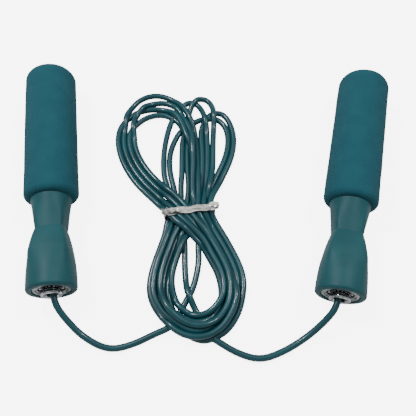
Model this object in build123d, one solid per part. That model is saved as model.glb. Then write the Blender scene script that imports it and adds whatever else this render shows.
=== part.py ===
from build123d import *
import math
import os

# Jump rope with two foam-gripped handles and a ball bearing in each, its rope wound into a tied hank.
# Millimetres, +Z up. The origin is on the floor, under the middle of the two handles. The handles lie
# on the floor with their bearing ends towards -Y, and the rope goes from one to the other.

# ---- handles: where each one lies --------------------------------------------------------------
LEFT_MOUTH = (-97.5, -83.6)  # the middle of the bell's end face, seen from above
LEFT_LEAN = 7.5  # degrees that the bearing end is swung towards +X
RIGHT_MOUTH = (84.0, -86.7)
RIGHT_LEAN = -12.3

# ---- handle body: one moulding, a bell, a waist, a cone and a shank under the foam -------------
HANDLE_LENGTH = 175.0  # from the bell's end face to the top of the foam
BELL_RADIUS = 15.9
BELL_MID_RADIUS = 15.0
BELL_MID_DEPTH = 17.0
RIM_ROUND = 1.8
WAIST_RADIUS = 10.4
WAIST_DEPTH = 42.0
SHOULDER_RADIUS = 13.8
SHANK_RADIUS = 11.0
SHANK_WALL = 2.5
WEB_THICKNESS = 12.0  # solid stretch between the two hollows, at the waist

# ---- foam grip ---------------------------------------------------------------------------------
FOAM_RADIUS = 18.0
FOAM_LENGTH = 110.0
FOAM_CAP = 6.0  # foam over the end of the shank
FOAM_DOME = 9.0  # rounding of the closed end
FOAM_LIP = 3.0  # rounding of the open end
GRIP_GAP = 0.15

# ---- ball bearing ------------------------------------------------------------------------------
RACE_RADIUS = 12.1
RACE_WIDTH = 6.2
RACE_RECESS = 0.5  # the race stands this far inside the bell's end face
RACE_EDGE = 0.6
SEAT_GAP = 0.02
BALL_RADIUS = 1.6
BALL_ROOM = 0.4  # at least this much between one ball and the next
BALL_PITCH_RADIUS = 7.2
GROOVE_GAP = 0.06
LAND_GAP = 1.3  # from the balls' pitch circle to the edge of each race
BUSH_BORE = 3.7
LIP_RADIUS = 7.0
LIP_REACH = 3.0  # the rolled lip stands this far out of the bell's end face
LIP_NECK = 0.4

# ---- rope --------------------------------------------------------------------------------------
ROPE_RADIUS = 2.2
WASHER_RADIUS = 6.4
WASHER_THICKNESS = 1.0
WASHER_GAP = 0.3
STOP_RADIUS = 4.4
STOP_LENGTH = 7.0
STOP_EDGE = 0.6
LEAD = 6.0  # the rope's first bend, this far out of the bell's end face
LEAD_SWAY = 0.5  # the rope leans this far out of the bore's middle there, sideways
LEAD_DROP = 0.4  # and down
BEND_SHARE = 0.45
CHAMBER_STEP = 2.1  # the race sits on a step this wide, in front of the chamber
CHAMBER_ROOM = 3.0  # behind the rope's stop

# The free stretches of the rope, after the first bend outside each handle
LEFT_ROUTE = [
    (-89.0, -99.0, 11.2),
    (-78.0, -109.3, 4.6),
    (-61.5, -117.2, 2.3),
    (-46.0, -113.4, 2.3),
    (-33.5, -107.0, 2.3),
    (-24.0, -103.0, 2.3),
]
RIGHT_ROUTE = [
    (74.5, -101.0, 11.2),
    (63.0, -109.8, 4.8),
    (49.0, -117.8, 2.4),
    (34.0, -123.2, 2.3),
    (19.5, -119.0, 2.3),
    (6.5, -111.0, 2.3),
]

# ---- hank: the outer shape of the wound rope, seen from above ----------------------------------
HANK_HEIGHT = 11.0
HANK_OUTLINE = [
    (-30, -21), (-45, -7), (-60, 11), (-69, 37), (-64, 60), (-50, 76), (-32, 77), (-17, 74), (-4, 79),
    (7, 65), (18, 56), (21, 37), (15, 13), (5, -10), (7, -27), (18, -50), (26, -78), (19, -101),
    (-4, -114), (-26, -103), (-39, -83), (-38, -60), (-33, -40),
]
HANK_WINDOWS = [
    [(-34, 5), (-48, 23), (-53, 39), (-48, 53), (-36, 59), (-29, 55), (-34, 38)],
    [(-28, 8), (-30, 26), (-22, 42), (-21, 10)],
    [(7, 17), (8, 48), (14, 50), (15, 36)],
    [(-18, -55), (-22, -70), (-20, -84), (-15, -88), (-17, -70)],
    [(-11, -40), (-12, -62), (-10, -74), (-7, -62), (-6, -45)],
    [(-2, -50), (-3, -64), (-8, -82), (-4, -94), (2, -91), (8, -79), (5, -64)],
]
WINDOW_ROUND = 1.2

# ---- tie: a flat plastic strip with a wire core, twisted shut round the hank's waist ----------
TIE_CENTRE = (-12.0, -22.3)
TIE_TURN = 8.0  # degrees
TIE_WIDTH = 4.8
TIE_THICKNESS = 1.1
WIRE_SIZE = 0.5
TIE_GAP = 0.3
WAIST_SPAN = 34.0
TIE_ROUND = 3.5
TWIST_SPAN = 13.0
TWIST_WIDTH = 5.0
TWIST_THICKNESS = 1.6
CURL_RADIUS = 3.0
CURL_WALL = 0.9


def turned(*edges):
    """A solid turned about the local Z axis from an outline of (radius, height) edges."""
    return revolve(Plane.XZ * make_face([edge for part in edges for edge in part.edges()]), Axis.Z)


def disc(radius, low, high):
    """A plain cylinder on the local Z axis between two heights."""
    return Pos(0, 0, low) * Cylinder(radius, high - low, align=(Align.CENTER, Align.CENTER, Align.MIN))


# Local frame of a handle: +Z points out of the bearing end, and the bell's end face is at zero.
FOAM_END = -HANDLE_LENGTH
FOAM_RIM = FOAM_LENGTH - HANDLE_LENGTH
SHOULDER = FOAM_RIM + GRIP_GAP
SHANK_END = FOAM_END + FOAM_CAP + GRIP_GAP
RACE_FRONT = -RACE_RECESS
RACE_BACK = RACE_FRONT - RACE_WIDTH
RACE_MID = (RACE_FRONT + RACE_BACK) / 2
WASHER_FRONT = RACE_BACK - WASHER_GAP
STOP_FRONT = WASHER_FRONT - WASHER_THICKNESS
STOP_BACK = STOP_FRONT - STOP_LENGTH
CHAMBER_END = STOP_BACK - CHAMBER_ROOM
CHAMBER_RADIUS = RACE_RADIUS - CHAMBER_STEP
BALL_ARC = math.asin((BALL_RADIUS + BALL_ROOM / 2) / BALL_PITCH_RADIUS)  # half of a ball's share of the ring
BALL_COUNT = int(math.pi / BALL_ARC)
GROOVE_RADIUS = BALL_RADIUS + GROOVE_GAP
LAND_OUT = BALL_PITCH_RADIUS + LAND_GAP
LAND_IN = BALL_PITCH_RADIUS - LAND_GAP


def handle_body():
    """The moulding: bell, waist, cone and shank, with a bearing seat, a chamber and a hollow shank."""
    rim = CenterArc((BELL_RADIUS - RIM_ROUND, -RIM_ROUND), RIM_ROUND, 0, 90)
    bell = ThreePointArc(rim @ 0, (BELL_MID_RADIUS, -BELL_MID_DEPTH), (WAIST_RADIUS, -WAIST_DEPTH))
    rest = Polyline(
        bell @ 1,
        (SHOULDER_RADIUS, SHOULDER),
        (SHANK_RADIUS, SHOULDER),
        (SHANK_RADIUS, SHANK_END),
        (0, SHANK_END),
        (0, 0),
        rim @ 1,
    )
    body = turned(rim, bell, rest)
    body -= disc(RACE_RADIUS + SEAT_GAP, RACE_BACK, 1)
    body -= disc(CHAMBER_RADIUS, CHAMBER_END, 0)
    body -= disc(SHANK_RADIUS - SHANK_WALL, SHANK_END - 1, -WAIST_DEPTH - WEB_THICKNESS)
    return body


def foam_grip():
    """The foam sleeve, with a closed round end and a rounded open end."""
    sleeve = disc(FOAM_RADIUS, FOAM_END, FOAM_RIM)
    sleeve = fillet(sleeve.edges().group_by(Axis.Z)[0], FOAM_DOME)
    sleeve = fillet(sleeve.edges().group_by(Axis.Z)[-1], FOAM_LIP)
    return sleeve - disc(SHANK_RADIUS + GRIP_GAP, FOAM_END + FOAM_CAP, FOAM_RIM + 1)


def ball_groove():
    """The ring that a ball of groove radius sweeps round the bearing."""
    return Pos(0, 0, RACE_MID) * Torus(BALL_PITCH_RADIUS, GROOVE_RADIUS)


def bearing_race():
    """The outer race, pressed into the bell, with the balls' groove inside it."""
    outline = Polyline(
        (LAND_OUT, RACE_BACK),
        (RACE_RADIUS, RACE_BACK),
        (RACE_RADIUS, RACE_FRONT - RACE_EDGE),
        (RACE_RADIUS - RACE_EDGE, RACE_FRONT),
        (LAND_OUT, RACE_FRONT),
        close=True,
    )
    return turned(outline) - ball_groove()


def bearing_balls():
    """A full ring of balls between the two races."""
    spots = PolarLocations(BALL_PITCH_RADIUS, BALL_COUNT)
    return [Pos(0, 0, RACE_MID) * spot * Sphere(BALL_RADIUS) for spot in spots]


def bearing_bush():
    """The inner race: an eyelet with the balls' groove round it and a rolled lip in front."""
    flare = LIP_RADIUS - LAND_IN
    outline = Polyline(
        (BUSH_BORE, RACE_BACK),
        (LAND_IN, RACE_BACK),
        (LAND_IN, LIP_NECK),
        (LIP_RADIUS, LIP_NECK + flare),
        (LIP_RADIUS, LIP_REACH - flare / 2),
        (LAND_IN, LIP_REACH),
        (BUSH_BORE + LIP_NECK, LIP_REACH),
        (BUSH_BORE, LIP_REACH - LIP_NECK),
        close=True,
    )
    return turned(outline) - ball_groove()


def rope_washer():
    """The washer that the rope's stop pulls against."""
    return disc(WASHER_RADIUS, STOP_FRONT, WASHER_FRONT) - disc(ROPE_RADIUS + WASHER_GAP, STOP_BACK, 0)


def rope_stop():
    """The plug crimped on the rope's end."""
    return chamfer(disc(STOP_RADIUS, STOP_BACK, STOP_FRONT).edges(), STOP_EDGE)


def handle_frame(mouth, lean):
    """The handle's local frame, laid on the floor with +Z out of its bearing end."""
    swing = math.radians(lean)
    return Plane(
        origin=(*mouth, FOAM_RADIUS), x_dir=(0, 0, 1), z_dir=(math.sin(swing), -math.cos(swing), 0)
    )


def rope_route(frame, sway, points):
    """The rope's line from its stop, out through the bush and over its hand-chosen points."""
    start = frame.from_local_coords(Vector(0, 0, STOP_FRONT))
    lead = frame.from_local_coords(Vector(0, 0, LEAD)) + Vector(sway, 0, -LEAD_DROP)
    return [start, lead] + [Vector(*point) for point in points]


def rope_run(name, route):
    """The tube along one free stretch: straight runs joined by arcs as large as the runs allow."""
    radii = []
    for before, corner, after in zip(route, route[1:], route[2:]):
        turn = (corner - before).get_angle(after - corner)
        shorter = min((corner - before).length, (after - corner).length)
        radii.append(BEND_SHARE * shorter / math.tan(math.radians(turn) / 2))
    line = FilletPolyline(*route, radius=radii)
    section = Plane(origin=route[0], z_dir=route[1] - route[0]) * Circle(ROPE_RADIUS)
    tube = sweep(section, path=line)
    full = math.pi * ROPE_RADIUS**2 * line.length
    print(name, "radii", [round(radius, 1) for radius in radii])
    print(name, "length", round(line.length, 1), "volume share", round(tube.volume / full, 4))
    return tube


def window(points):
    """An open loop of the hank, cut right through it: straight sides and rounded corners."""
    opening = Polygon(*points, align=None)
    return extrude(fillet(opening.vertices(), WINDOW_ROUND), HANK_HEIGHT, both=True)


def tie_frame(along=0.0, height=0.0):
    """A place on the tie: along it from the middle of the hank's waist, and up from the floor."""
    return Pos(*TIE_CENTRE, height) * Rot(0, 0, TIE_TURN) * Pos(along, 0, 0)


TIE_SPAN = WAIST_SPAN + 2 * (TIE_GAP + TIE_THICKNESS)
TIE_CORNER = TIE_ROUND + TIE_GAP + TIE_THICKNESS
WIRE_DEPTH = (TIE_THICKNESS - WIRE_SIZE) / 2


def waist_slab(depth, width):
    """A slab across the hank's waist: the tie's own outline, taken in by a depth all round."""
    outline = RectangleRounded(TIE_SPAN - 2 * depth, HANK_HEIGHT - 2 * depth, TIE_CORNER - depth)
    face = Plane.XZ * Pos(0, HANK_HEIGHT / 2) * outline
    return tie_frame() * extrude(face, width / 2, both=True)


def rope_hank():
    """The hank's outer shape, with its open loops, and narrowed where the tie goes round it."""
    hank = extrude(make_face(Spline(*HANK_OUTLINE, periodic=True)), HANK_HEIGHT)
    for points in HANK_WINDOWS:
        hank -= window(points)
    room = TIE_WIDTH + 2 * TIE_GAP
    groove = tie_frame(0, HANK_HEIGHT / 2) * Box(2 * WAIST_SPAN, room, 2 * HANK_HEIGHT)
    return hank - groove + waist_slab(TIE_THICKNESS + TIE_GAP, room)


def tie_wire():
    """The strip's wire core, a closed loop round the waist."""
    return waist_slab(WIRE_DEPTH, WIRE_SIZE) - waist_slab(WIRE_DEPTH + WIRE_SIZE, TIE_WIDTH)


def tie_strip():
    """The strip: round the waist, twisted shut on top, with its tail curled beside the hank."""
    band = waist_slab(0, TIE_WIDTH) - waist_slab(TIE_THICKNESS, 2 * TIE_WIDTH)
    twist = extrude(SlotOverall(TWIST_SPAN, TWIST_WIDTH), TWIST_THICKNESS)
    tail = Cylinder(CURL_RADIUS, TIE_WIDTH) - Cylinder(CURL_RADIUS - CURL_WALL, TIE_WIDTH)
    twist_spot = tie_frame((TWIST_SPAN - WAIST_SPAN) / 2, HANK_HEIGHT - WIRE_DEPTH / 2)
    tail_spot = tie_frame(TIE_SPAN / 2 + CURL_RADIUS - CURL_WALL / 2, HANK_HEIGHT / 2) * Rot(90, 0, 0)
    return band + twist_spot * twist + tail_spot * tail - tie_wire()


def handle_nodes(side, frame):
    """One handle's own pieces, and the pieces on the rope's end inside it."""
    pieces = {
        "handle_body": handle_body(),
        "foam_grip": foam_grip(),
        "bearing_race": bearing_race(),
        "bearing_balls": Compound(bearing_balls()),
        "bearing_bush": bearing_bush(),
        "rope_washer": rope_washer(),
        "rope_stop": rope_stop(),
    }
    return {f"{side}_{name}": frame.location * piece for name, piece in pieces.items()}


left_frame = handle_frame(LEFT_MOUTH, LEFT_LEAN)
right_frame = handle_frame(RIGHT_MOUTH, RIGHT_LEAN)
nodes = {
    **handle_nodes("left", left_frame),
    **handle_nodes("right", right_frame),
    "rope_left_run": rope_run("rope_left_run", rope_route(left_frame, LEAD_SWAY, LEFT_ROUTE)),
    "rope_right_run": rope_run("rope_right_run", rope_route(right_frame, -LEAD_SWAY, RIGHT_ROUTE)),
    "rope_hank": rope_hank(),
    "tie_strip": tie_strip(),
    "tie_wire": tie_wire(),
}

os.makedirs("parts", exist_ok=True)
for node, solid in nodes.items():
    export_step(solid, f"parts/{node}.step")
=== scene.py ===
import bpy
import math
import numpy as np
from mathutils import Matrix, Vector


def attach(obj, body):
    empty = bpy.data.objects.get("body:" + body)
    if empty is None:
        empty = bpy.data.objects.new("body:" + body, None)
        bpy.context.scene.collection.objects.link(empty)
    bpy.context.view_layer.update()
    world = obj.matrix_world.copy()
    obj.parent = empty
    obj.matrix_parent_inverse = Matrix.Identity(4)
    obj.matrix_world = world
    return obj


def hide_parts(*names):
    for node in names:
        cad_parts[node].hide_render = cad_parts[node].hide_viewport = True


# A jump rope: two foam-gripped handles with ball bearings, and one rope between them, wound into a tied
# hank. Metres, unless a comment says millimetres.
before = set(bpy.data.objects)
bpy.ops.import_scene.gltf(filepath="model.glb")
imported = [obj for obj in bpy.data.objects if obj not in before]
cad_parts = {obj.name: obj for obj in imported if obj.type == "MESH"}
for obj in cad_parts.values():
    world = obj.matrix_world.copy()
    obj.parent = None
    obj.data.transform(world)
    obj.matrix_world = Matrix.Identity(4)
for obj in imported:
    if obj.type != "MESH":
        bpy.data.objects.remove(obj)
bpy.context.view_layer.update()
MM = 0.001

# ---- sizes: the model's, but for the bell's, the waist's and the foam lip's, which are a little fuller
LEFT_MOUTH, LEFT_LEAN = (-0.0975, -0.0836), 7.5
RIGHT_MOUTH, RIGHT_LEAN = (0.0840, -0.0867), -12.3
FOAM_RADIUS = 0.018
BELL_RADIUS = 0.0162
BELL_MID_RADIUS, BELL_MID_DEPTH = 0.0157, 0.017
WAIST_RADIUS, WAIST_DEPTH = 0.0106, 0.042
SHOULDER_RADIUS = 0.0138
SHANK_RADIUS = 0.011
RIM_ROUND = 0.0018
FOAM_END = -0.175
FOAM_RIM = -0.065
FOAM_CAP = 0.006
FOAM_DOME = 0.009
FOAM_LIP = 0.0045
FOAM_GAP = 0.00015  # between the foam and the moulding
FOAM_WIDER = 1.035  # soft foam lies a little flat: wider than it is high
RACE_RADIUS = 0.0121
RACE_FRONT, RACE_BACK = -0.0005, -0.0067
RACE_INNER = 0.0085
CHAMBER_RADIUS, CHAMBER_END = 0.010, -0.018
SEAT_GAP = 0.00002
BUSH_BORE = 0.0037
BUSH_LAND = 0.0059
LIP_RADIUS = 0.0070
LIP_REACH = 0.003
ROPE_RADIUS = 0.0022
ROPE_BED = 0.0023  # the rope's centre over the floor
TIE_CENTRE = np.array([-0.0120, -0.0223])
TIE_TURN = math.radians(8.0)
TIE_ACROSS = np.array([math.cos(TIE_TURN), math.sin(TIE_TURN)])
TIE_THROUGH = np.array([-math.sin(TIE_TURN), math.cos(TIE_TURN)])

# ---- camera ------------------------------------------------------------------------------------
CAMERA_PLACE = (0.00105, -0.18252, 0.34091)
CAMERA_TILT = math.radians(26.0)
CAMERA_LENS, CAMERA_SENSOR = 45.8, 36.0  # millimetres

bpy.ops.object.camera_add(location=CAMERA_PLACE, rotation=(CAMERA_TILT, 0, 0))
camera = bpy.context.object
camera.data.lens = CAMERA_LENS
camera.data.sensor_width = CAMERA_SENSOR
camera.data.clip_start = 0.01
bpy.context.scene.camera = camera

# ---- the rope's course, in millimetres ---------------------------------------------------------
# The two free stretches: inside the handle, the first bend, and the points after it, down to the floor.
LEFT_RUN = [
    (-98.54, -75.67, 18.0), (-96.22, -89.55, 17.6), (-89.0, -99.0, 11.2), (-78.0, -109.3, 4.6),
    (-61.5, -117.2, 2.3), (-46.0, -113.4, 2.3), (-33.5, -107.0, 2.3), (-24.0, -103.0, 2.3),
]
RIGHT_RUN = [
    (85.70, -78.88, 18.0), (82.22, -92.56, 17.6), (74.5, -101.0, 11.2), (63.0, -109.8, 4.8),
    (49.0, -117.8, 2.4), (34.0, -123.2, 2.3), (19.5, -119.0, 2.3), (6.5, -111.0, 2.3),
]
# Where each end goes under the lower loops and up the middle to the tie
LEFT_END = [(-14.6, -88.6), (-10.5, -80.5), (-7, -70.9), (-5.4, -60.3), (-4.7, -50), (-4.5, -40)]
RIGHT_END = [(-16.5, -36), (-14.7, -49.4), (-14.7, -60.3), (-14, -70.9), (-12, -81.1), (-6.7, -93.2)]

# Upper loops, each from the tie up its left leg, over the top and down its right leg. They are named
# by lobe: A is the wide one on the left, B the narrow one behind it and C the one on the right.
UPPER = {
    "A1": [(-31, -12.5), (-36, -8), (-43.5, -0.5), (-50.5, 8), (-57.5, 20), (-61.5, 31.5), (-63, 43.5),
           (-62.5, 55.5), (-60.5, 66), (-55.5, 75.5), (-47, 81.5), (-38, 82.5), (-29, 79), (-21, 72),
           (-14.5, 62.5), (-10.5, 52), (-8, 40.5), (-7, 29), (-6.5, 17), (-6, 4.5), (-5.5, -7)],
    "A2": [(-20, -11), (-27.5, -4.5), (-36.5, 3.5), (-42.5, 10.5), (-48.5, 18.5), (-52.5, 27),
           (-55.5, 36.5), (-56.5, 46), (-56, 55.5), (-52.5, 64.5), (-46.5, 71.5), (-38.5, 75.5),
           (-30.5, 75), (-23.5, 70.5), (-18.5, 62), (-15, 51.5), (-12.5, 41.5), (-10.5, 30),
           (-10, 18.5), (-10, 6), (-9.5, -5.5)],
    "A3": [(-34, -13.5), (-39, -9), (-46.5, -1.5), (-54.5, 7.5), (-62, 21.5), (-65.5, 31.5), (-67, 40.5),
           (-66.5, 49.5), (-63, 57.5), (-57.5, 64), (-49.5, 68), (-40.5, 69), (-31.5, 67.5), (-24.5, 63),
           (-19.5, 56.5), (-16, 48), (-13, 38), (-11.5, 27), (-11, 15), (-10, 3.5), (-9.5, -6.5)],
    "A4": [(-28.5, -8), (-34, -2.5), (-41.5, 4.5), (-48, 12.5), (-55, 24), (-59, 34.5), (-60, 43.5),
           (-57, 52), (-51, 58.5), (-43.5, 62.5), (-35.5, 64), (-27.5, 62.5), (-21.5, 57.5), (-17, 50),
           (-14.5, 40.5), (-12.5, 30), (-11.5, 18.5), (-11, 6.5), (-10.5, -5)],
    "B1": [(-26.5, -10.5), (-29, -2.5), (-31, 6.5), (-32, 17.5), (-32, 29), (-31, 38.5), (-29.5, 48),
           (-27, 58), (-23.5, 67), (-18.5, 74), (-12, 76.5), (-6, 73.5), (-2.5, 65.5), (-1, 55.5),
           (-0.5, 44), (0, 31.5), (0, 18.5), (-0.5, 6), (-1, -5.5)],
    "B2": [(-19, -11.5), (-19, -1.5), (-18, 9), (-18, 21), (-17.5, 33.5), (-16.5, 45), (-15.5, 56),
           (-13.5, 67), (-9.5, 76.5), (-3, 80.5), (3, 76.5), (5.5, 66.5), (5.5, 54.5), (5, 42), (4.5, 30),
           (3.5, 17), (2.5, 4), (2, -8)],
    "C1": [(-4, -11), (-3.5, 0), (-3.5, 11.5), (-3.5, 23.5), (-4, 35.5), (-4, 47), (-2, 57.5), (2.5, 65),
           (8, 68), (13.5, 65.5), (17.5, 58), (19, 48.5), (19.5, 38.5), (18, 28.5), (15, 18), (10.5, 8),
           (6, -1), (2.5, -9)],
    "C2": [(-20.5, -10.5), (-23.5, -2), (-26, 6), (-27.5, 15.5), (-28, 25), (-26.5, 33.5), (-23.5, 42),
           (-18.5, 48.5), (-13, 54), (-6.5, 58), (0.5, 60.5), (7, 60), (13, 56), (17, 48.5), (18, 39),
           (17, 29.5), (14, 19.5), (9, 10), (4.5, 1.5), (0.5, -6)],
}
# Lower loops: places round the lobe from its right leg over the bottom to its left leg, each given by
# the innermost and the outermost turn there.
LOWER_PLACES = [
    ((-4.5, -44), (6, -32.5)), ((1, -53.5), (13, -45)), ((6.5, -62.5), (18, -56)),
    ((10, -71.5), (22, -67)), ((10.5, -79.5), (23, -77)), ((8.5, -87), (22, -88)),
    ((3.5, -93), (17.5, -98.5)), ((-2, -96.5), (8.5, -109)), ((-8.5, -96.5), (-3.5, -112.5)),
    ((-15, -93), (-15, -109)), ((-20.5, -87.5), (-27, -98.5)),
    ((-23.5, -81.5), (-35, -88.5)), ((-24, -74), (-38, -79)), ((-23.5, -66), (-37, -68)),
    ((-21, -59), (-34.5, -57)), ((-18, -49), (-31, -47)), ((-15, -38.5), (-27.5, -35)),
]
# Each lower loop's place between the innermost (0) and the outermost (1) on the right, at the bottom and
# on the left, and the layers that it lies in there.
LOWER = {
    "L1": ((1.0, 1.0, 0.35), (3, 2.5, 3)),
    "L2": ((0.5, 0.48, 0.5), (10.5, 7.5, 2.5)),
    "L3": ((0.0, 0.28, 0.62), (10, 5.5, 2)),
    "L4": ((0.33, 0.6, 0.85), (9, 6.5, 1.5)),
    "L5": ((0.15, 0.0, 0.0), (11, 8.5, 4)),
    "L6": ((0.7, 0.85, 1.0), (5, 4.5, 1)),
    "L7": ((0.88, 0.72, 0.2), (4, 3.5, 3.5)),
}
UPPER_LAYER = {"C1": 0, "C2": 1, "B1": 2, "B2": 3, "A4": 4, "A3": 5, "A2": 6, "A1": 7}
# The order in which the rope makes its loops, and the way round each: + as listed, - the other way
COURSE = [
    "C1+", "L1+", "A2-", "L2+", "A3-", "L3+", "A4-", "L4+",
    "C2+", "L5-", "A1+", "L6+", "B1+", "L7+", "B2-",
]
# Who lies next to whom inside the tie, from left to right: l and r are an upper loop's left and right leg
TIE_TOP = ["A3l", "A1l", "A4l", "A2l", "A1r", "B1r", "C1r"]
TIE_BOTTOM = ["B1l", "C2l", "B2l", "A4r", "A3r", "A2r", "B2r", "C1l", "C2r"]
TIE_TOP_ROW = (14.0, 7.5)  # half of the row's span, and its height
TIE_BOTTOM_ROW = (14.4, 3.6)

LAYER = 4.6  # a layer's height before the rope settles
END_LAYER = 0.9  # the layer of the end that goes to the right handle
ROPE_WIDTH = 4.45  # how near two strands may lie
STEP = 2.6  # between the points that settle
EASING = 8  # rounds in which the drawn line's corners ease out
PLACE_SHARES = [0.2, 0.47, 0.74]  # how far along a lower loop its three places count in full
LAYER_SHARES = [0.1, 0.3, 0.8, 0.93]

# How the rope settles: each number is a share of the way, or millimetres, in one round
SETTLE_ROUNDS = 280
LAST_ROUNDS = 30  # the last of them, in which only near neighbours stiffen it
LOOK_EVERY = 6  # rounds between two searches for strands that lie near each other
DROP = 0.35
HOMING = 0.25
STIFF_UP, STIFF_ACROSS = 0.35, 0.12
LONG_STIFF_UP, LONG_STIFF_ACROSS = 0.12, 0.02
NEIGHBOURS = 5  # points along the rope that are too near to push each other
LOOK_REACH = 2.2  # times the rope's width
PUSH_ACROSS = 0.5
CROWDING = 0.6
TIE_ROOM = 15.2  # how far from the tie's middle a strand may lie inside it
TIE_REACH = 4  # how far either side of the tie that holds
LAST_EASING, LAST_EASE = 4, 0.3


def tie_place(leg):
    """Where a strand goes through the tie."""
    row, (half, height) = (TIE_TOP, TIE_TOP_ROW) if leg in TIE_TOP else (TIE_BOTTOM, TIE_BOTTOM_ROW)
    along = half * (2 * row.index(leg) / (len(row) - 1) - 1)
    x, y = TIE_CENTRE / MM + TIE_ACROSS * along
    return (x, y, height)


def lower_loop(name):
    """A lower loop's points, from its right leg to its left leg."""
    (right, bottom, left), (right_layer, bottom_layer, left_layer) = LOWER[name]
    points = []
    for number, (inner, outer) in enumerate(LOWER_PLACES):
        way = number / (len(LOWER_PLACES) - 1)
        share = np.interp(way, PLACE_SHARES, [right, bottom, left])
        layers = [right_layer, bottom_layer, bottom_layer, left_layer]
        layer = np.interp(way, LAYER_SHARES, layers)
        x, y = np.array(inner) + share * (np.array(outer) - np.array(inner))
        points.append((x, y, ROPE_BED / MM + layer * LAYER))
    return points


def wound_course():
    """All the hank's points, in layers, and which of them are held: the tie's and the two ends."""
    points, held = [], []

    def add(group, layer=0.0, hold=False):
        for point in group:
            height = point[2] if len(point) > 2 else ROPE_BED / MM + layer * LAYER
            points.append((point[0], point[1], height))
            held.append(hold)

    add(LEFT_RUN[-1:], hold=True)
    add(LEFT_END)
    add([tie_place("C1l")], hold=True)
    for number, step in enumerate(COURSE):
        name, way = step[:2], step[2]
        if name in UPPER:
            add(UPPER[name][:: 1 if way == "+" else -1], UPPER_LAYER[name])
            add([tie_place(name + ("r" if way == "+" else "l"))], hold=True)
        else:
            add(lower_loop(name)[:: 1 if way == "+" else -1])
            after, after_way = COURSE[number + 1][:2], COURSE[number + 1][2]
            add([tie_place(after + ("l" if after_way == "+" else "r"))], hold=True)
    add(RIGHT_END, END_LAYER)
    add(RIGHT_RUN[-1:], hold=True)
    return np.array(points), held


def drawn_out(points, held):
    """A smooth line through the points, divided evenly enough to settle."""
    line, fixed = [], []
    last = len(points) - 1
    for k in range(last):
        a, b, c, d = points[max(k - 1, 0)], points[k], points[k + 1], points[min(k + 2, last)]
        parts = max(2, round(float(np.linalg.norm((c - b)[:2])) / STEP))
        for part in range(parts):
            t = part / parts
            square, cube = 2 * a - 5 * b + 4 * c - d, 3 * b - a - 3 * c + d
            spot = 0.5 * (2 * b + (c - a) * t + square * t**2 + cube * t**3)
            if held[k] or held[k + 1]:
                spot[2] = b[2] + (c[2] - b[2]) * t
            line.append(spot)
            fixed.append(held[k] and part == 0)
    line = np.array(line + [points[-1]])
    for _ in range(EASING):
        line[2:-2, :2] += 0.5 * (0.5 * (line[1:-3, :2] + line[3:-1, :2]) - line[2:-2, :2])
    return line, np.array(fixed + [True])


def settled(line, fixed):
    """The rope dropped from its layers: every strand comes to rest on the floor or on those under it."""
    home = line.copy()
    count = len(line)
    place = np.arange(count)
    apart = place[:, None] + NEIGHBOURS < place[None, :]
    for turn in range(SETTLE_ROUNDS):
        line[:, 2] -= DROP
        line[:, :2] += HOMING * (home[:, :2] - line[:, :2])
        for _ in range(2):
            bend = 0.5 * (line[:-2] + line[2:]) - line[1:-1]
            line[1:-1, 2] += STIFF_UP * bend[:, 2]
            line[1:-1, :2] += STIFF_ACROSS * bend[:, :2]
        if turn < SETTLE_ROUNDS - LAST_ROUNDS:
            bend = 0.5 * (line[:-6] + line[6:]) - line[3:-3]
            line[3:-3, 2] += LONG_STIFF_UP * bend[:, 2]
            line[3:-3, :2] += LONG_STIFF_ACROSS * bend[:, :2]
        if turn % LOOK_EVERY == 0:
            gap = np.linalg.norm(line[:, None, :] - line[None, :, :], axis=2)
            one, other = np.where((gap < LOOK_REACH * ROPE_WIDTH) & apart)
        for _ in range(3):
            between = line[other] - line[one]
            reach = np.linalg.norm(between, axis=1) + 1e-9
            over = np.maximum(0, ROPE_WIDTH - reach)
            push = between / reach[:, None] * over[:, None] / 2
            move, touches = np.zeros_like(line), np.zeros(count)
            np.add.at(move, other, push)
            np.add.at(move, one, -push)
            np.add.at(touches, other, over > 0)
            np.add.at(touches, one, over > 0)
            move[:, :2] *= PUSH_ACROSS
            line += move / np.maximum(1, touches * CROWDING)[:, None]
            in_tie = np.abs((line[:, :2] - TIE_CENTRE / MM) @ TIE_THROUGH) < TIE_REACH
            across = (line[in_tie, :2] - TIE_CENTRE / MM) @ TIE_ACROSS
            line[in_tie, :2] += (np.clip(across, -TIE_ROOM, TIE_ROOM) - across)[:, None] * TIE_ACROSS
            line[in_tie, 2] = np.clip(line[in_tie, 2], TIE_BOTTOM_ROW[1], TIE_TOP_ROW[1])
            line[:, 2] = np.maximum(line[:, 2], ROPE_BED / MM)
        line[fixed] = home[fixed]
    for _ in range(LAST_EASING):
        bend = 0.5 * (line[:-2] + line[2:]) - line[1:-1]
        line[1:-1] += LAST_EASE * np.where(fixed[1:-1, None], 0, bend)
    return line


CURVE_STEPS = 5  # along the rope, between two of its points
ROUND_STEPS = 8  # round it, in each quarter


def add_rope():
    """The whole rope, from one bush to the other, as one spline."""
    hank = settled(*drawn_out(*wound_course()))
    points = LEFT_RUN[:-1] + [tuple(point) for point in hank[::2]]
    if len(hank) % 2 == 0:
        points.append(tuple(hank[-1]))
    points += RIGHT_RUN[-2::-1]
    curve = bpy.data.curves.new("rope", "CURVE")
    curve.dimensions = "3D"
    spline = curve.splines.new("NURBS")
    spline.points.add(len(points) - 1)
    for spot, (x, y, z) in zip(spline.points, points):
        spot.co = (x * MM, y * MM, z * MM, 1)
        spot.radius = ROPE_RADIUS
    spline.order_u = 3
    spline.use_endpoint_u = True
    spline.resolution_u = CURVE_STEPS
    curve.bevel_depth = 1.0  # times each point's own radius
    curve.bevel_resolution = ROUND_STEPS
    curve.use_fill_caps = True
    rope = bpy.data.objects.new("rope", curve)
    bpy.context.collection.objects.link(rope)
    return rope


rope = add_rope()


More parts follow.
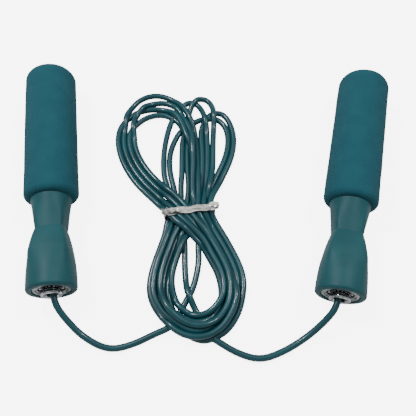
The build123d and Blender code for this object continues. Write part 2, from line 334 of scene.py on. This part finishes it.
# ---- turned pieces -----------------------------------------------------------------------------
def handle_place(mouth, lean):
    """From a handle's own frame, with +Z out of its bearing end, to where it lies on the floor."""
    swing = math.radians(lean)
    out = Vector((math.sin(swing), -math.cos(swing), 0))
    up = Vector((0, 0, 1))
    side = out.cross(up)
    turn = Matrix((up, side, out)).transposed().to_4x4()
    return Matrix.Translation((*mouth, FOAM_RADIUS)) @ turn


def start_ring(name, height, radius, sides, corners=None):
    """A ring of points to draw out along Z, in edit mode. With corners, it starts as a polygon."""
    bpy.ops.object.select_all(action="DESELECT")
    bpy.ops.mesh.primitive_circle_add(vertices=corners or sides, radius=radius, location=(0, 0, height))
    ring = bpy.context.object
    ring.name = name
    bpy.ops.object.mode_set(mode="EDIT")
    bpy.ops.mesh.select_all(action="SELECT")
    if corners:
        bpy.ops.mesh.subdivide(number_cuts=sides // corners - 1)
        bpy.ops.mesh.vertices_smooth(factor=0.5, repeat=CORNER_SMOOTHS)
    return ring


def draw_out(rings, was):
    """Carry the picked ring, at the (height, radius) was, through each (height, radius) of rings."""
    for height, radius in rings:
        bpy.ops.mesh.extrude_region_move(TRANSFORM_OT_translate={"value": (0, 0, height - was[0])})
        size = radius / was[1]
        bpy.ops.transform.resize(value=(size, size, 1), center_override=(0, 0, height))
        was = (height, radius)


MERGE_REACH = 0.000005


def close_piece(angle):
    """Join what meets, turn the faces outwards, leave edit mode and shade the piece."""
    bpy.ops.mesh.select_all(action="SELECT")
    bpy.ops.mesh.remove_doubles(threshold=MERGE_REACH)
    bpy.ops.mesh.normals_make_consistent(inside=False)
    bpy.ops.object.mode_set(mode="OBJECT")
    bpy.ops.object.transform_apply(location=True, rotation=True, scale=True)
    bpy.ops.object.shade_smooth_by_angle(angle=math.radians(angle))
    return bpy.context.object


def put_on(piece, place, body, slot, *nodes):
    """Lay a finished piece in its place, on its body, in place of its plain nodes."""
    piece.data.transform(place)
    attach(piece, body)
    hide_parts(*nodes)
    return piece


def arc(centre, radius, first, last, steps):
    """(height, radius) points on a round, from one angle to another; 0 is outwards, 90 is up."""
    turn = np.radians(np.linspace(first, last, steps))
    return [(centre[0] + radius * math.sin(t), centre[1] + radius * math.cos(t)) for t in turn]


def bell_radius(depth):
    """The bell's radius at a depth behind its end face, on one arc through its three radii."""
    a, b = BELL_RADIUS - BELL_MID_RADIUS, BELL_RADIUS - WAIST_RADIUS
    share_mid = (BELL_MID_DEPTH - RIM_ROUND) / (WAIST_DEPTH - RIM_ROUND)
    power = math.log(a / b) / math.log(share_mid)
    share = max(0.0, (depth - RIM_ROUND) / (WAIST_DEPTH - RIM_ROUND))
    return BELL_RADIUS - b * share**power


FACETS = 4
FACET_SIDES = 60
FACET_TURN = math.radians(45)
FACET_ROUND = 0.4  # how round the four-sided waist already is
FACET_FIT = 0.25  # 0 fits a ring's radius to its flats, 1 to its corners
CORNER_SMOOTHS = 4
BELL_RINGS, BELL_FADE = 14, 0.45  # the facets fade from this share of the way on
CONE_RINGS, CONE_FADE = 7, 0.3
FADE_SHARE = 0.3
SEAT_EDGE = 0.0004
SHANK_EDGE = 0.001


def round_off(share, height, radius):
    """Make the picked ring rounder by a share, and bring it back to its size."""
    if share:
        bpy.ops.transform.tosphere(value=share)
    piece = bpy.context.edit_object
    piece.update_from_editmode()
    reaches = [math.hypot(v.co.x, v.co.y) for v in piece.data.vertices if v.select]
    size = radius / ((1 - FACET_FIT) * min(reaches) + FACET_FIT * max(reaches))
    bpy.ops.transform.resize(value=(size, size, 1), center_override=(0, 0, height))


def handle_body(name):
    """The moulding: four soft facets run out of the waist both ways and fade into the round."""
    parts = []
    for part in ("bell", "cone"):
        piece = start_ring(f"{name}_{part}", -WAIST_DEPTH, WAIST_RADIUS, FACET_SIDES, FACETS)
        bpy.ops.transform.rotate(value=FACET_TURN, orient_axis="Z", center_override=(0, 0, -WAIST_DEPTH))
        round_off(FACET_ROUND, -WAIST_DEPTH, WAIST_RADIUS)
        rings, fade = (BELL_RINGS, BELL_FADE) if part == "bell" else (CONE_RINGS, CONE_FADE)
        height = -WAIST_DEPTH
        for k in range(1, rings + 1):
            if part == "bell":
                new = -WAIST_DEPTH + (WAIST_DEPTH - RIM_ROUND) * k / rings
                radius = bell_radius(-new)
            else:
                new = -WAIST_DEPTH + (FOAM_RIM + FOAM_GAP + WAIST_DEPTH) * k / rings
                radius = WAIST_RADIUS + (SHOULDER_RADIUS - WAIST_RADIUS) * k / rings
            bpy.ops.mesh.extrude_region_move(TRANSFORM_OT_translate={"value": (0, 0, new - height)})
            height = new
            share = 0.0 if k / rings < fade else FADE_SHARE
            round_off(1.0 if k >= rings - 1 else share, height, radius)
        if part == "bell":
            rim = arc((-RIM_ROUND, BELL_RADIUS - RIM_ROUND), RIM_ROUND, 0, 90, 7)[1:]
            seat = RACE_RADIUS + SEAT_GAP
            inner = [(0.0, seat + SEAT_EDGE), (-SEAT_EDGE, seat), (RACE_BACK, seat)]
            chamber = [(RACE_BACK, CHAMBER_RADIUS), (CHAMBER_END, CHAMBER_RADIUS)]
            draw_out(rim + inner + chamber, (height, BELL_RADIUS))
        else:
            shank_end = FOAM_END + FOAM_CAP + FOAM_GAP
            shank = [
                (height, SHANK_RADIUS),
                (shank_end + SHANK_EDGE, SHANK_RADIUS),
                (shank_end, SHANK_RADIUS - SHANK_EDGE),
            ]
            draw_out(shank, (height, SHOULDER_RADIUS))
        bpy.ops.mesh.edge_face_add()
        bpy.ops.object.mode_set(mode="OBJECT")
        bpy.ops.object.transform_apply(location=True, rotation=True, scale=True)
        parts.append(piece)
    bpy.ops.object.select_all(action="DESELECT")
    for piece in parts:
        piece.select_set(True)
    bpy.context.view_layer.objects.active = parts[0]
    bpy.ops.object.join()
    bpy.ops.object.mode_set(mode="EDIT")
    body = close_piece(angle=22.0)
    body.name = name
    return body


LUMP_SIZE, LUMP_HEIGHT = 0.02, 0.00045
LUMP_LEVEL = 0.76  # high, so that the lumps press inwards more than out
FOAM_SIDES, FOAM_RINGS = 96, 46
BORE_EDGE, LIP_EDGE = 0.002, 0.0018
CROWN = (0.0065, 0.004, 0.0018)  # the radii of the last rings on the closed end


def foam_grip(name):
    """The foam sleeve: a bore for the shank, a rounded lip and a domed closed end, a little uneven."""
    bore = SHANK_RADIUS + FOAM_GAP
    bore_end = FOAM_END + FOAM_CAP
    start_ring(name, bore_end, bore - BORE_EDGE, FOAM_SIDES)
    bpy.ops.mesh.edge_face_add()
    lip = arc((FOAM_RIM - FOAM_LIP, FOAM_RADIUS - FOAM_LIP), FOAM_LIP, 90, 0, 9)
    side = [
        (height, FOAM_RADIUS)
        for height in np.linspace(FOAM_RIM - FOAM_LIP, FOAM_END + FOAM_DOME, FOAM_RINGS)[1:-1]
    ]
    dome = arc((FOAM_END + FOAM_DOME, FOAM_RADIUS - FOAM_DOME), FOAM_DOME, 0, -90, 17)
    crown = [(FOAM_END, radius) for radius in CROWN]
    inside = [(bore_end, bore), (FOAM_RIM, bore), (FOAM_RIM, bore + LIP_EDGE)]
    draw_out(inside + lip + side + dome + crown, (bore_end, bore - BORE_EDGE))
    bpy.ops.mesh.edge_face_add()
    bpy.ops.mesh.select_all(action="SELECT")
    bpy.ops.transform.resize(value=(1, FOAM_WIDER, 1), center_override=(0, 0, 0))
    grip = close_piece(angle=60.0)
    lumps = bpy.data.textures.new(f"{name}_lumps", "CLOUDS")
    lumps.noise_scale = LUMP_SIZE
    lumps.noise_depth = 2
    press = grip.modifiers.new("lumps", "DISPLACE")
    press.texture = lumps
    press.texture_coords = "LOCAL"
    press.strength = LUMP_HEIGHT
    press.mid_level = LUMP_LEVEL
    bpy.ops.object.modifier_apply(modifier="lumps")
    return grip


GROOVE_CENTRE = ((RACE_FRONT + RACE_BACK) / 2, 0.0072)
GROOVE_RADIUS = 0.00166
GROOVE_OPEN = 38.5  # degrees either way that the groove reaches round the balls
BEARING_SIDES = 64
RACE_EDGE, RACE_SMALL_EDGE = 0.0006, 0.0002
# The face of the race inside its flange: (depth behind the front, radius)
RACE_FACE = ((0.0, 0.0102), (0.0001, 0.0100), (0.0006, 0.0098), (0.0007, 0.0087))
RACE_LAND_DEPTH = 0.0009
ROLL_RADIUS = 0.00125
NECK_HEIGHT = 0.0004
# The mouth of the bush: (depth behind the lip's reach, radius)
BUSH_MOUTH = ((0.0001, 0.0050), (0.0005, 0.0043), (0.0011, 0.0039))
BUSH_MOUTH_END = 0.002


def bearing_race(name):
    """The outer race: a flange with rounded edges, a shallow step inside it and the balls' groove."""
    start_ring(name, RACE_BACK, RACE_INNER, BEARING_SIDES)
    groove = arc(GROOVE_CENTRE, GROOVE_RADIUS, GROOVE_OPEN, -GROOVE_OPEN, 7)
    rings = [
        (RACE_BACK, RACE_RADIUS),
        (RACE_FRONT - RACE_EDGE, RACE_RADIUS),
        (RACE_FRONT - RACE_SMALL_EDGE, RACE_RADIUS - RACE_SMALL_EDGE),
        (RACE_FRONT, RACE_RADIUS - RACE_EDGE),
        *[(RACE_FRONT - depth, radius) for depth, radius in RACE_FACE],
        (RACE_FRONT - RACE_LAND_DEPTH, RACE_INNER),
        *groove,
        (RACE_BACK, RACE_INNER),
    ]
    draw_out(rings, (RACE_BACK, RACE_INNER))
    return close_piece(angle=32.0)


def bearing_bush(name):
    """The inner race: an eyelet with the balls' groove round it and a lip rolled over in front."""
    start_ring(name, RACE_BACK, BUSH_BORE, BEARING_SIDES)
    groove = arc(GROOVE_CENTRE, GROOVE_RADIUS, 180 + GROOVE_OPEN, 180 - GROOVE_OPEN, 7)
    roll = arc((LIP_REACH - ROLL_RADIUS, LIP_RADIUS - ROLL_RADIUS), ROLL_RADIUS, -60, 90, 10)
    mouth = [(LIP_REACH - depth, radius) for depth, radius in BUSH_MOUTH]
    bore = [(LIP_REACH - BUSH_MOUTH_END, BUSH_BORE), (RACE_BACK, BUSH_BORE)]
    rings = [(RACE_BACK, BUSH_LAND), *groove, (NECK_HEIGHT, BUSH_LAND), *roll, *mouth, *bore]
    draw_out(rings, (RACE_BACK, BUSH_BORE))
    return close_piece(angle=40.0)


handles = {}
for side, mouth, lean in (("left", LEFT_MOUTH, LEFT_LEAN), ("right", RIGHT_MOUTH, RIGHT_LEAN)):
    place = handle_place(mouth, lean)
    handle = f"{side}_handle"
    made = {}
    for part, piece, body, slot, node in (
        ("body", handle_body(f"{side}_moulding"), handle, "handle_plastic", "handle_body"),
        ("grip", foam_grip(f"{side}_foam"), handle, "grip_foam", "foam_grip"),
        ("race", bearing_race(f"{side}_race"), handle, "bearing_steel", "bearing_race"),
        ("bush", bearing_bush(f"{side}_eyelet"), "rope", "bearing_steel", "bearing_bush"),
    ):
        made[part] = put_on(piece, place, body, slot, f"{side}_{node}")
    handles[side] = made

# ---- the tie -----------------------------------------------------------------------------------
TIE_HALF = 0.01785  # the strip's middle line, either side of the tie's centre
TIE_LOW, TIE_HIGH = 0.0007, 0.01045
TIE_CORNER = 0.0036
STRIP_WIDTH = 0.0048
WING = 0.00018  # half of the strip's thickness
RIB = 0.0005
RIB_HALF = 0.00045
WAVE, WAVE_TURN = 0.0004, 5.1  # the strip sways this far, this much further round at each point
LEAN, LEAN_TURN = 0.07, 2.3
NEAR_TOP = 0.001
WIRE_HALF = 0.0002

TWIST_STEPS, TWIST_WIDTH = 48, 0.0026
TWIST_START, TWIST_SPAN = -0.0192, 0.0128
TWIST_HEIGHT, TWIST_FLATNESS = 0.0124, 0.6
TWIST_REACH, TWIST_CORE = 0.00125, 0.0002
TWIST_ROUNDS, TWIST_TURNS = 2.2, 1.1
THIN_WING, THIN_RIB = 0.0002, 0.0004

TAIL_STEPS, TAIL_WIDTH = 32, 0.0030
TAIL_START, TAIL_SWEEP = 100, 330  # degrees
TAIL_REACH, TAIL_CLOSES = 0.0026, 0.0011
TAIL_MIDDLE = (0.0186, 0.0094)
TAIL_BEHIND, TAIL_SWAYS = 0.0012, 0.002
LEAD_START, LEAD_STEP, LEAD_POINTS = (0.0145, 0.0116), (0.0009, 0.0002), 4


def tie_point(across, height, through=0.0):
    """A point given along the tie, over the floor, and through the waist."""
    x, y = TIE_CENTRE + TIE_ACROSS * across + TIE_THROUGH * through
    return (x, y, height)


def strip_section(width, wing, rib):
    """The strip's section: two thin wings and a rib down the middle where its wire runs."""
    half = width / 2
    return [
        (-half, -wing), (-2 * RIB_HALF, -wing), (-RIB_HALF, -rib), (RIB_HALF, -rib), (2 * RIB_HALF, -wing),
        (half, -wing), (half, wing), (2 * RIB_HALF, wing), (RIB_HALF, rib), (-RIB_HALF, rib),
        (-2 * RIB_HALF, wing), (-half, wing),
    ]


def swept(name, line, section, closed=False, twists=None):
    """A section carried along a line of points, as a mesh with its ends closed."""
    cut = bpy.data.curves.new(f"{name}_section", "CURVE")
    edge = cut.splines.new("POLY")
    edge.points.add(len(section) - 1)
    for spot, (x, y) in zip(edge.points, section):
        spot.co = (x, y, 0, 1)
    edge.use_cyclic_u = True
    cutter = bpy.data.objects.new(f"{name}_section", cut)
    bpy.context.collection.objects.link(cutter)
    curve = bpy.data.curves.new(name, "CURVE")
    curve.dimensions = "3D"
    spline = curve.splines.new("POLY")
    spline.points.add(len(line) - 1)
    for k, (spot, point) in enumerate(zip(spline.points, line)):
        spot.co = (*point, 1)
        spot.tilt = twists[k] if twists else 0.0
    spline.use_cyclic_u = closed
    curve.bevel_mode = "OBJECT"
    curve.bevel_object = cutter
    curve.use_fill_caps = True
    piece = bpy.data.objects.new(name, curve)
    bpy.context.collection.objects.link(piece)
    bpy.ops.object.select_all(action="DESELECT")
    piece.select_set(True)
    bpy.context.view_layer.objects.active = piece
    bpy.ops.object.convert(target="MESH")
    bpy.data.objects.remove(cutter)
    bpy.ops.object.mode_set(mode="EDIT")
    return close_piece(angle=35.0)


def band_line(steps=12):
    """Round the waist: a loop with rounded corners, as (across, height) points."""
    line = []
    corners = [
        (1, TIE_HIGH, 90, 0), (1, TIE_LOW, 0, -90), (-1, TIE_LOW, -90, -180), (-1, TIE_HIGH, 180, 90),
    ]
    for side, height, first, last in corners:
        inwards = TIE_CORNER if height == TIE_LOW else -TIE_CORNER
        middle = (side * (TIE_HALF - TIE_CORNER), height + inwards)
        for t in np.radians(np.linspace(first, last, 7)):
            line.append((middle[0] + TIE_CORNER * math.cos(t), middle[1] + TIE_CORNER * math.sin(t)))
        if (height == TIE_LOW) == (side == 1):
            start, way = line[-1], -side
            run = 2 * (TIE_HALF - TIE_CORNER)
            for k in range(1, steps):
                line.append((start[0] + way * run * k / steps, start[1]))
    return line


def twist_strand(number):
    """One of the two strands that are twisted round each other on the left."""
    phase = number * math.pi
    helix = []
    for k in range(TWIST_STEPS + 1):
        way = k / TWIST_STEPS
        across = TWIST_START + TWIST_SPAN * way
        swing = phase + 2 * math.pi * TWIST_ROUNDS * way
        reach = TWIST_REACH * math.sin(math.pi * min(1, 0.12 + way * 1.1)) ** 0.5 + TWIST_CORE
        height = TWIST_HEIGHT + TWIST_FLATNESS * reach * math.sin(swing)
        helix.append(tie_point(across, height, reach * math.cos(swing)))
    turns = [2 * math.pi * TWIST_TURNS * k / TWIST_STEPS + phase for k in range(TWIST_STEPS + 1)]
    section = strip_section(TWIST_WIDTH, THIN_WING, THIN_RIB)
    return swept(f"tie_twist_{number}", helix, section, twists=turns)


def curled_tail():
    """The strip's end, led off to the right and curled."""
    lead = [
        tie_point(LEAD_START[0] + LEAD_STEP[0] * k, LEAD_START[1] + LEAD_STEP[1] * k, TAIL_BEHIND)
        for k in range(LEAD_POINTS)
    ]
    curl = []
    for k in range(TAIL_STEPS + 1):
        way = k / TAIL_STEPS
        swing = math.radians(TAIL_START - TAIL_SWEEP * way)
        reach = TAIL_REACH - TAIL_CLOSES * way
        across, height = TAIL_MIDDLE[0] + reach * math.cos(swing), TAIL_MIDDLE[1] + reach * math.sin(swing)
        curl.append(tie_point(across, height, TAIL_BEHIND - TAIL_SWAYS * way))
    return swept("tie_tail", lead + curl, strip_section(TAIL_WIDTH, THIN_WING, THIN_RIB))


def add_tie():
    """The strip round the waist, slightly wavy, its twist on the left and its curled tail on the right."""
    loop = band_line()
    line = [
        tie_point(across, height, WAVE * math.sin(WAVE_TURN * k)) for k, (across, height) in enumerate(loop)
    ]
    tilts = [
        LEAN * math.sin(LEAN_TURN * k + 1) if TIE_HIGH - height < NEAR_TOP else 0.0
        for k, (_, height) in enumerate(loop)
    ]
    section = strip_section(STRIP_WIDTH, WING, RIB)
    band = swept("tie_band", line, section, closed=True, twists=tilts)
    wire_line = [tie_point(across, height) for across, height in loop]
    square = [(WIRE_HALF * x, WIRE_HALF * y) for x, y in ((1, 1), (-1, 1), (-1, -1), (1, -1))]
    wire = swept("tie_core", wire_line, square, closed=True)
    parts = [band, twist_strand(0), twist_strand(1), curled_tail()]
    bpy.ops.object.select_all(action="DESELECT")
    for piece in parts:
        piece.select_set(True)
    bpy.context.view_layer.objects.active = band
    bpy.ops.object.join()
    bpy.context.object.name = "tie"
    return bpy.context.object, wire


tie, tie_core = add_tie()
put_on(tie, Matrix.Identity(4), "rope", "tie_plastic", "tie_strip")
put_on(tie_core, Matrix.Identity(4), "rope", "tie_wire", "tie_wire")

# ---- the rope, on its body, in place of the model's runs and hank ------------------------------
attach(rope, "rope")
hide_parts("rope_left_run", "rope_right_run", "rope_hank")


# ---- finishes ----------------------------------------------------------------------------------
GRAIN_DETAIL, GRAIN_ROUGHNESS = 3.0, 0.6
TONE_DETAIL = 2.0
TONE_SPREAD = (0.34, 0.66)  # the part of the noise that carries a tone from dark to light


def colour(red, green, blue):
    """A colour as it is read off a chart, 0 to 255, in the shader's own scale."""
    def straight(value):
        value /= 255
        return value / 12.92 if value <= 0.04045 else ((value + 0.055) / 1.055) ** 2.4
    return (straight(red), straight(green), straight(blue), 1.0)


def grain_group():
    """Fine grain on a surface: a mask and a bumped normal, at a scale and a depth."""
    group = bpy.data.node_groups.new("fine_grain", "ShaderNodeTree")
    group.interface.new_socket("Stretch", in_out="INPUT", socket_type="NodeSocketVector")
    for label in ("Scale", "Depth"):
        group.interface.new_socket(label, in_out="INPUT", socket_type="NodeSocketFloat")
    group.interface.new_socket("Mask", in_out="OUTPUT", socket_type="NodeSocketFloat")
    group.interface.new_socket("Normal", in_out="OUTPUT", socket_type="NodeSocketVector")
    add, join = group.nodes.new, group.links.new
    given, result = add("NodeGroupInput"), add("NodeGroupOutput")
    where = add("ShaderNodeTexCoord")
    noise, bump = add("ShaderNodeTexNoise"), add("ShaderNodeBump")
    noise.inputs["Detail"].default_value = GRAIN_DETAIL
    noise.inputs["Roughness"].default_value = GRAIN_ROUGHNESS
    stretch = add("ShaderNodeVectorMath")
    stretch.operation = "MULTIPLY"
    join(where.outputs["Object"], stretch.inputs[0])
    join(given.outputs["Stretch"], stretch.inputs[1])
    join(stretch.outputs["Vector"], noise.inputs["Vector"])
    join(given.outputs["Scale"], noise.inputs["Scale"])
    join(noise.outputs["Fac"], bump.inputs["Height"])
    join(given.outputs["Depth"], bump.inputs["Distance"])
    join(noise.outputs["Fac"], result.inputs["Mask"])
    join(bump.outputs["Normal"], result.inputs["Normal"])
    return group


def tone_group():
    """A colour that drifts between a light and a dark tone over a piece."""
    group = bpy.data.node_groups.new("uneven_tone", "ShaderNodeTree")
    for label in ("Light", "Dark"):
        group.interface.new_socket(label, in_out="INPUT", socket_type="NodeSocketColor")
    group.interface.new_socket("Scale", in_out="INPUT", socket_type="NodeSocketFloat")
    group.interface.new_socket("Stretch", in_out="INPUT", socket_type="NodeSocketVector")
    group.interface.new_socket("Color", in_out="OUTPUT", socket_type="NodeSocketColor")
    add, join = group.nodes.new, group.links.new
    given, result = add("NodeGroupInput"), add("NodeGroupOutput")
    where, noise, mix = add("ShaderNodeTexCoord"), add("ShaderNodeTexNoise"), add("ShaderNodeMix")
    mix.data_type = "RGBA"
    noise.inputs["Detail"].default_value = TONE_DETAIL
    stretch = add("ShaderNodeVectorMath")
    stretch.operation = "MULTIPLY"
    join(where.outputs["Object"], stretch.inputs[0])
    join(given.outputs["Stretch"], stretch.inputs[1])
    join(stretch.outputs["Vector"], noise.inputs["Vector"])
    join(given.outputs["Scale"], noise.inputs["Scale"])
    spread = add("ShaderNodeMapRange")
    spread.inputs["From Min"].default_value, spread.inputs["From Max"].default_value = TONE_SPREAD
    join(noise.outputs["Fac"], spread.inputs["Value"])
    join(spread.outputs["Result"], mix.inputs["Factor"])
    join(given.outputs["Dark"], mix.inputs["A"])
    join(given.outputs["Light"], mix.inputs["B"])
    join(mix.outputs["Result"], result.inputs["Color"])
    return group


FINE_GRAIN = grain_group()
UNEVEN_TONE = tone_group()


def finish(
    name, light, dark, tone_scale, grain_scale, grain_depth, rough, stretch=(1, 1, 1), **shader_values
):
    """A finish from the two groups: its colour drifts, and its grain moves its roughness and normal."""
    material = bpy.data.materials.new(name)
    material.use_nodes = True
    tree = material.node_tree
    shader = tree.nodes["Principled BSDF"]
    tone, grain = tree.nodes.new("ShaderNodeGroup"), tree.nodes.new("ShaderNodeGroup")
    tone.node_tree, grain.node_tree = UNEVEN_TONE, FINE_GRAIN
    tone.inputs["Light"].default_value = light
    tone.inputs["Dark"].default_value = dark
    tone.inputs["Scale"].default_value = tone_scale
    grain.inputs["Scale"].default_value = grain_scale
    grain.inputs["Depth"].default_value = grain_depth
    tone.inputs["Stretch"].default_value = grain.inputs["Stretch"].default_value = stretch
    spread = tree.nodes.new("ShaderNodeMapRange")
    spread.inputs["To Min"].default_value = rough[0]
    spread.inputs["To Max"].default_value = rough[1]
    tree.links.new(tone.outputs["Color"], shader.inputs["Base Color"])
    tree.links.new(grain.outputs["Mask"], spread.inputs["Value"])
    tree.links.new(spread.outputs["Result"], shader.inputs["Roughness"])
    tree.links.new(grain.outputs["Normal"], shader.inputs["Normal"])
    for label, value in shader_values.items():
        shader.inputs[label.replace("_", " ")].default_value = value
    return material


# Each: its name, light and dark tone, tone scale, grain scale, grain depth, and roughness from and to
moulded = finish(
    "moulded_plastic", colour(33, 80, 86), colour(28, 73, 79), 60, 2600, 0.00004, (0.44, 0.54),
    Specular_IOR_Level=0.16,
)
foam = finish(
    "foam", colour(30, 80, 91), colour(27, 76, 87), 90, 1500, 0.00025, (0.86, 0.98),
    Specular_IOR_Level=0.2,
)
pvc = finish(
    "rope_pvc", colour(19, 70, 78), colour(14, 60, 68), 45, 1200, 0.00002, (0.3, 0.38),
    Specular_IOR_Level=0.3, Coat_Weight=0.22, Coat_Roughness=0.08,
)
steel = finish(
    "plated_steel", colour(168, 174, 172), colour(88, 94, 96), 320, 900, 0.00003, (0.18, 0.38),
    Metallic=1.0,
)
bright_steel = finish(
    "bright_steel", colour(205, 208, 210), colour(96, 102, 106), 420, 900, 0.00001, (0.07, 0.15),
    Metallic=1.0,
)
ball_steel = finish(
    "ball_steel", colour(190, 188, 196), colour(150, 148, 156), 400, 900, 0.00001, (0.3, 0.4),
    Metallic=1.0,
)
stop = finish("stop_plastic", colour(60, 62, 64), colour(44, 46, 48), 200, 1500, 0.00003, (0.4, 0.5))
# The strip's light tone is near white. Its streaks along the strip are partly its milky colour and partly
# painted glints.
milky_and_painted_glints = finish(
    "milky_strip_painted_glints", colour(255, 253, 248), colour(84, 92, 92), 520, 1100, 0.0009, (0.04, 0.16),
    stretch=(0.16, 1, 1), Coat_Weight=0.9, Coat_Roughness=0.04,
)
core = finish(
    "core_wire", colour(150, 150, 150), colour(110, 110, 110), 500, 900, 0.00002, (0.3, 0.4),
    Metallic=1.0,
)


def wear(material, *pieces):
    """Give pieces one finish, in every slot that they have."""
    for piece in pieces:
        piece = bpy.data.objects[piece] if isinstance(piece, str) else piece
        if not piece.data.materials:
            piece.data.materials.append(material)
        for number in range(len(piece.material_slots)):
            piece.material_slots[number].material = material


for side in ("left", "right"):
    wear(moulded, handles[side]["body"])
    wear(foam, handles[side]["grip"])
    wear(steel, handles[side]["race"], f"{side}_rope_washer")
    wear(bright_steel, handles[side]["bush"])
    wear(ball_steel, f"{side}_bearing_balls")
    wear(stop, f"{side}_rope_stop")
wear(pvc, rope)
wear(milky_and_painted_glints, tie)
wear(core, tie_core)

# ---- floor and lights --------------------------------------------------------------------------
BACKDROP_GLOW = 6.0  # the sheet's own light, as the eye sees it and not as it falls on the rope
SKY_LIGHT = 0.46
FLOOR_SIZE, FLOOR_GREY = 8.0, 0.85
SOFTBOXES = (  # name, place, size and power
    ("softbox_left", (-0.50, 0.35, 1.0), 0.2, 10),
    ("softbox_right", (0.5, 0.30, 1.05), 0.16, 6),
)

bpy.ops.object.select_all(action="DESELECT")
bpy.ops.mesh.primitive_plane_add(size=FLOOR_SIZE, location=(0, 0, 0))
floor = bpy.context.object
floor.name = "floor"
paper = bpy.data.materials.new("paper")
paper.use_nodes = True
sheet = paper.node_tree.nodes["Principled BSDF"]
sheet.inputs["Base Color"].default_value = (FLOOR_GREY, FLOOR_GREY, FLOOR_GREY, 1)
sheet.inputs["Roughness"].default_value = 1.0
sheet.inputs["Specular IOR Level"].default_value = 0.0
sheet.inputs["Emission Color"].default_value = (1, 1, 1, 1)
ray = paper.node_tree.nodes.new("ShaderNodeLightPath")
glow = paper.node_tree.nodes.new("ShaderNodeMath")
glow.operation = "MULTIPLY"
glow.inputs[1].default_value = BACKDROP_GLOW
paper.node_tree.links.new(ray.outputs["Is Camera Ray"], glow.inputs[0])
paper.node_tree.links.new(glow.outputs[0], sheet.inputs["Emission Strength"])
floor.data.materials.append(paper)

world = bpy.data.worlds.new("studio")
bpy.context.scene.world = world
world.use_nodes = True
sky = world.node_tree.nodes["Background"]
sky.inputs["Color"].default_value = (1, 1, 1, 1)
look = world.node_tree.nodes.new("ShaderNodeLightPath")
level = world.node_tree.nodes.new("ShaderNodeMapRange")
level.inputs["To Min"].default_value = SKY_LIGHT
level.inputs["To Max"].default_value = BACKDROP_GLOW
world.node_tree.links.new(look.outputs["Is Camera Ray"], level.inputs["Value"])
world.node_tree.links.new(level.outputs["Result"], sky.inputs["Strength"])

for label, spot, size, power in SOFTBOXES:
    bpy.ops.object.light_add(type="AREA", location=spot)
    lamp = bpy.context.object
    lamp.name = label
    lamp.data.size = size
    lamp.data.energy = power
    lamp.rotation_euler = (-Vector(spot)).to_track_quat("-Z", "Y").to_euler()
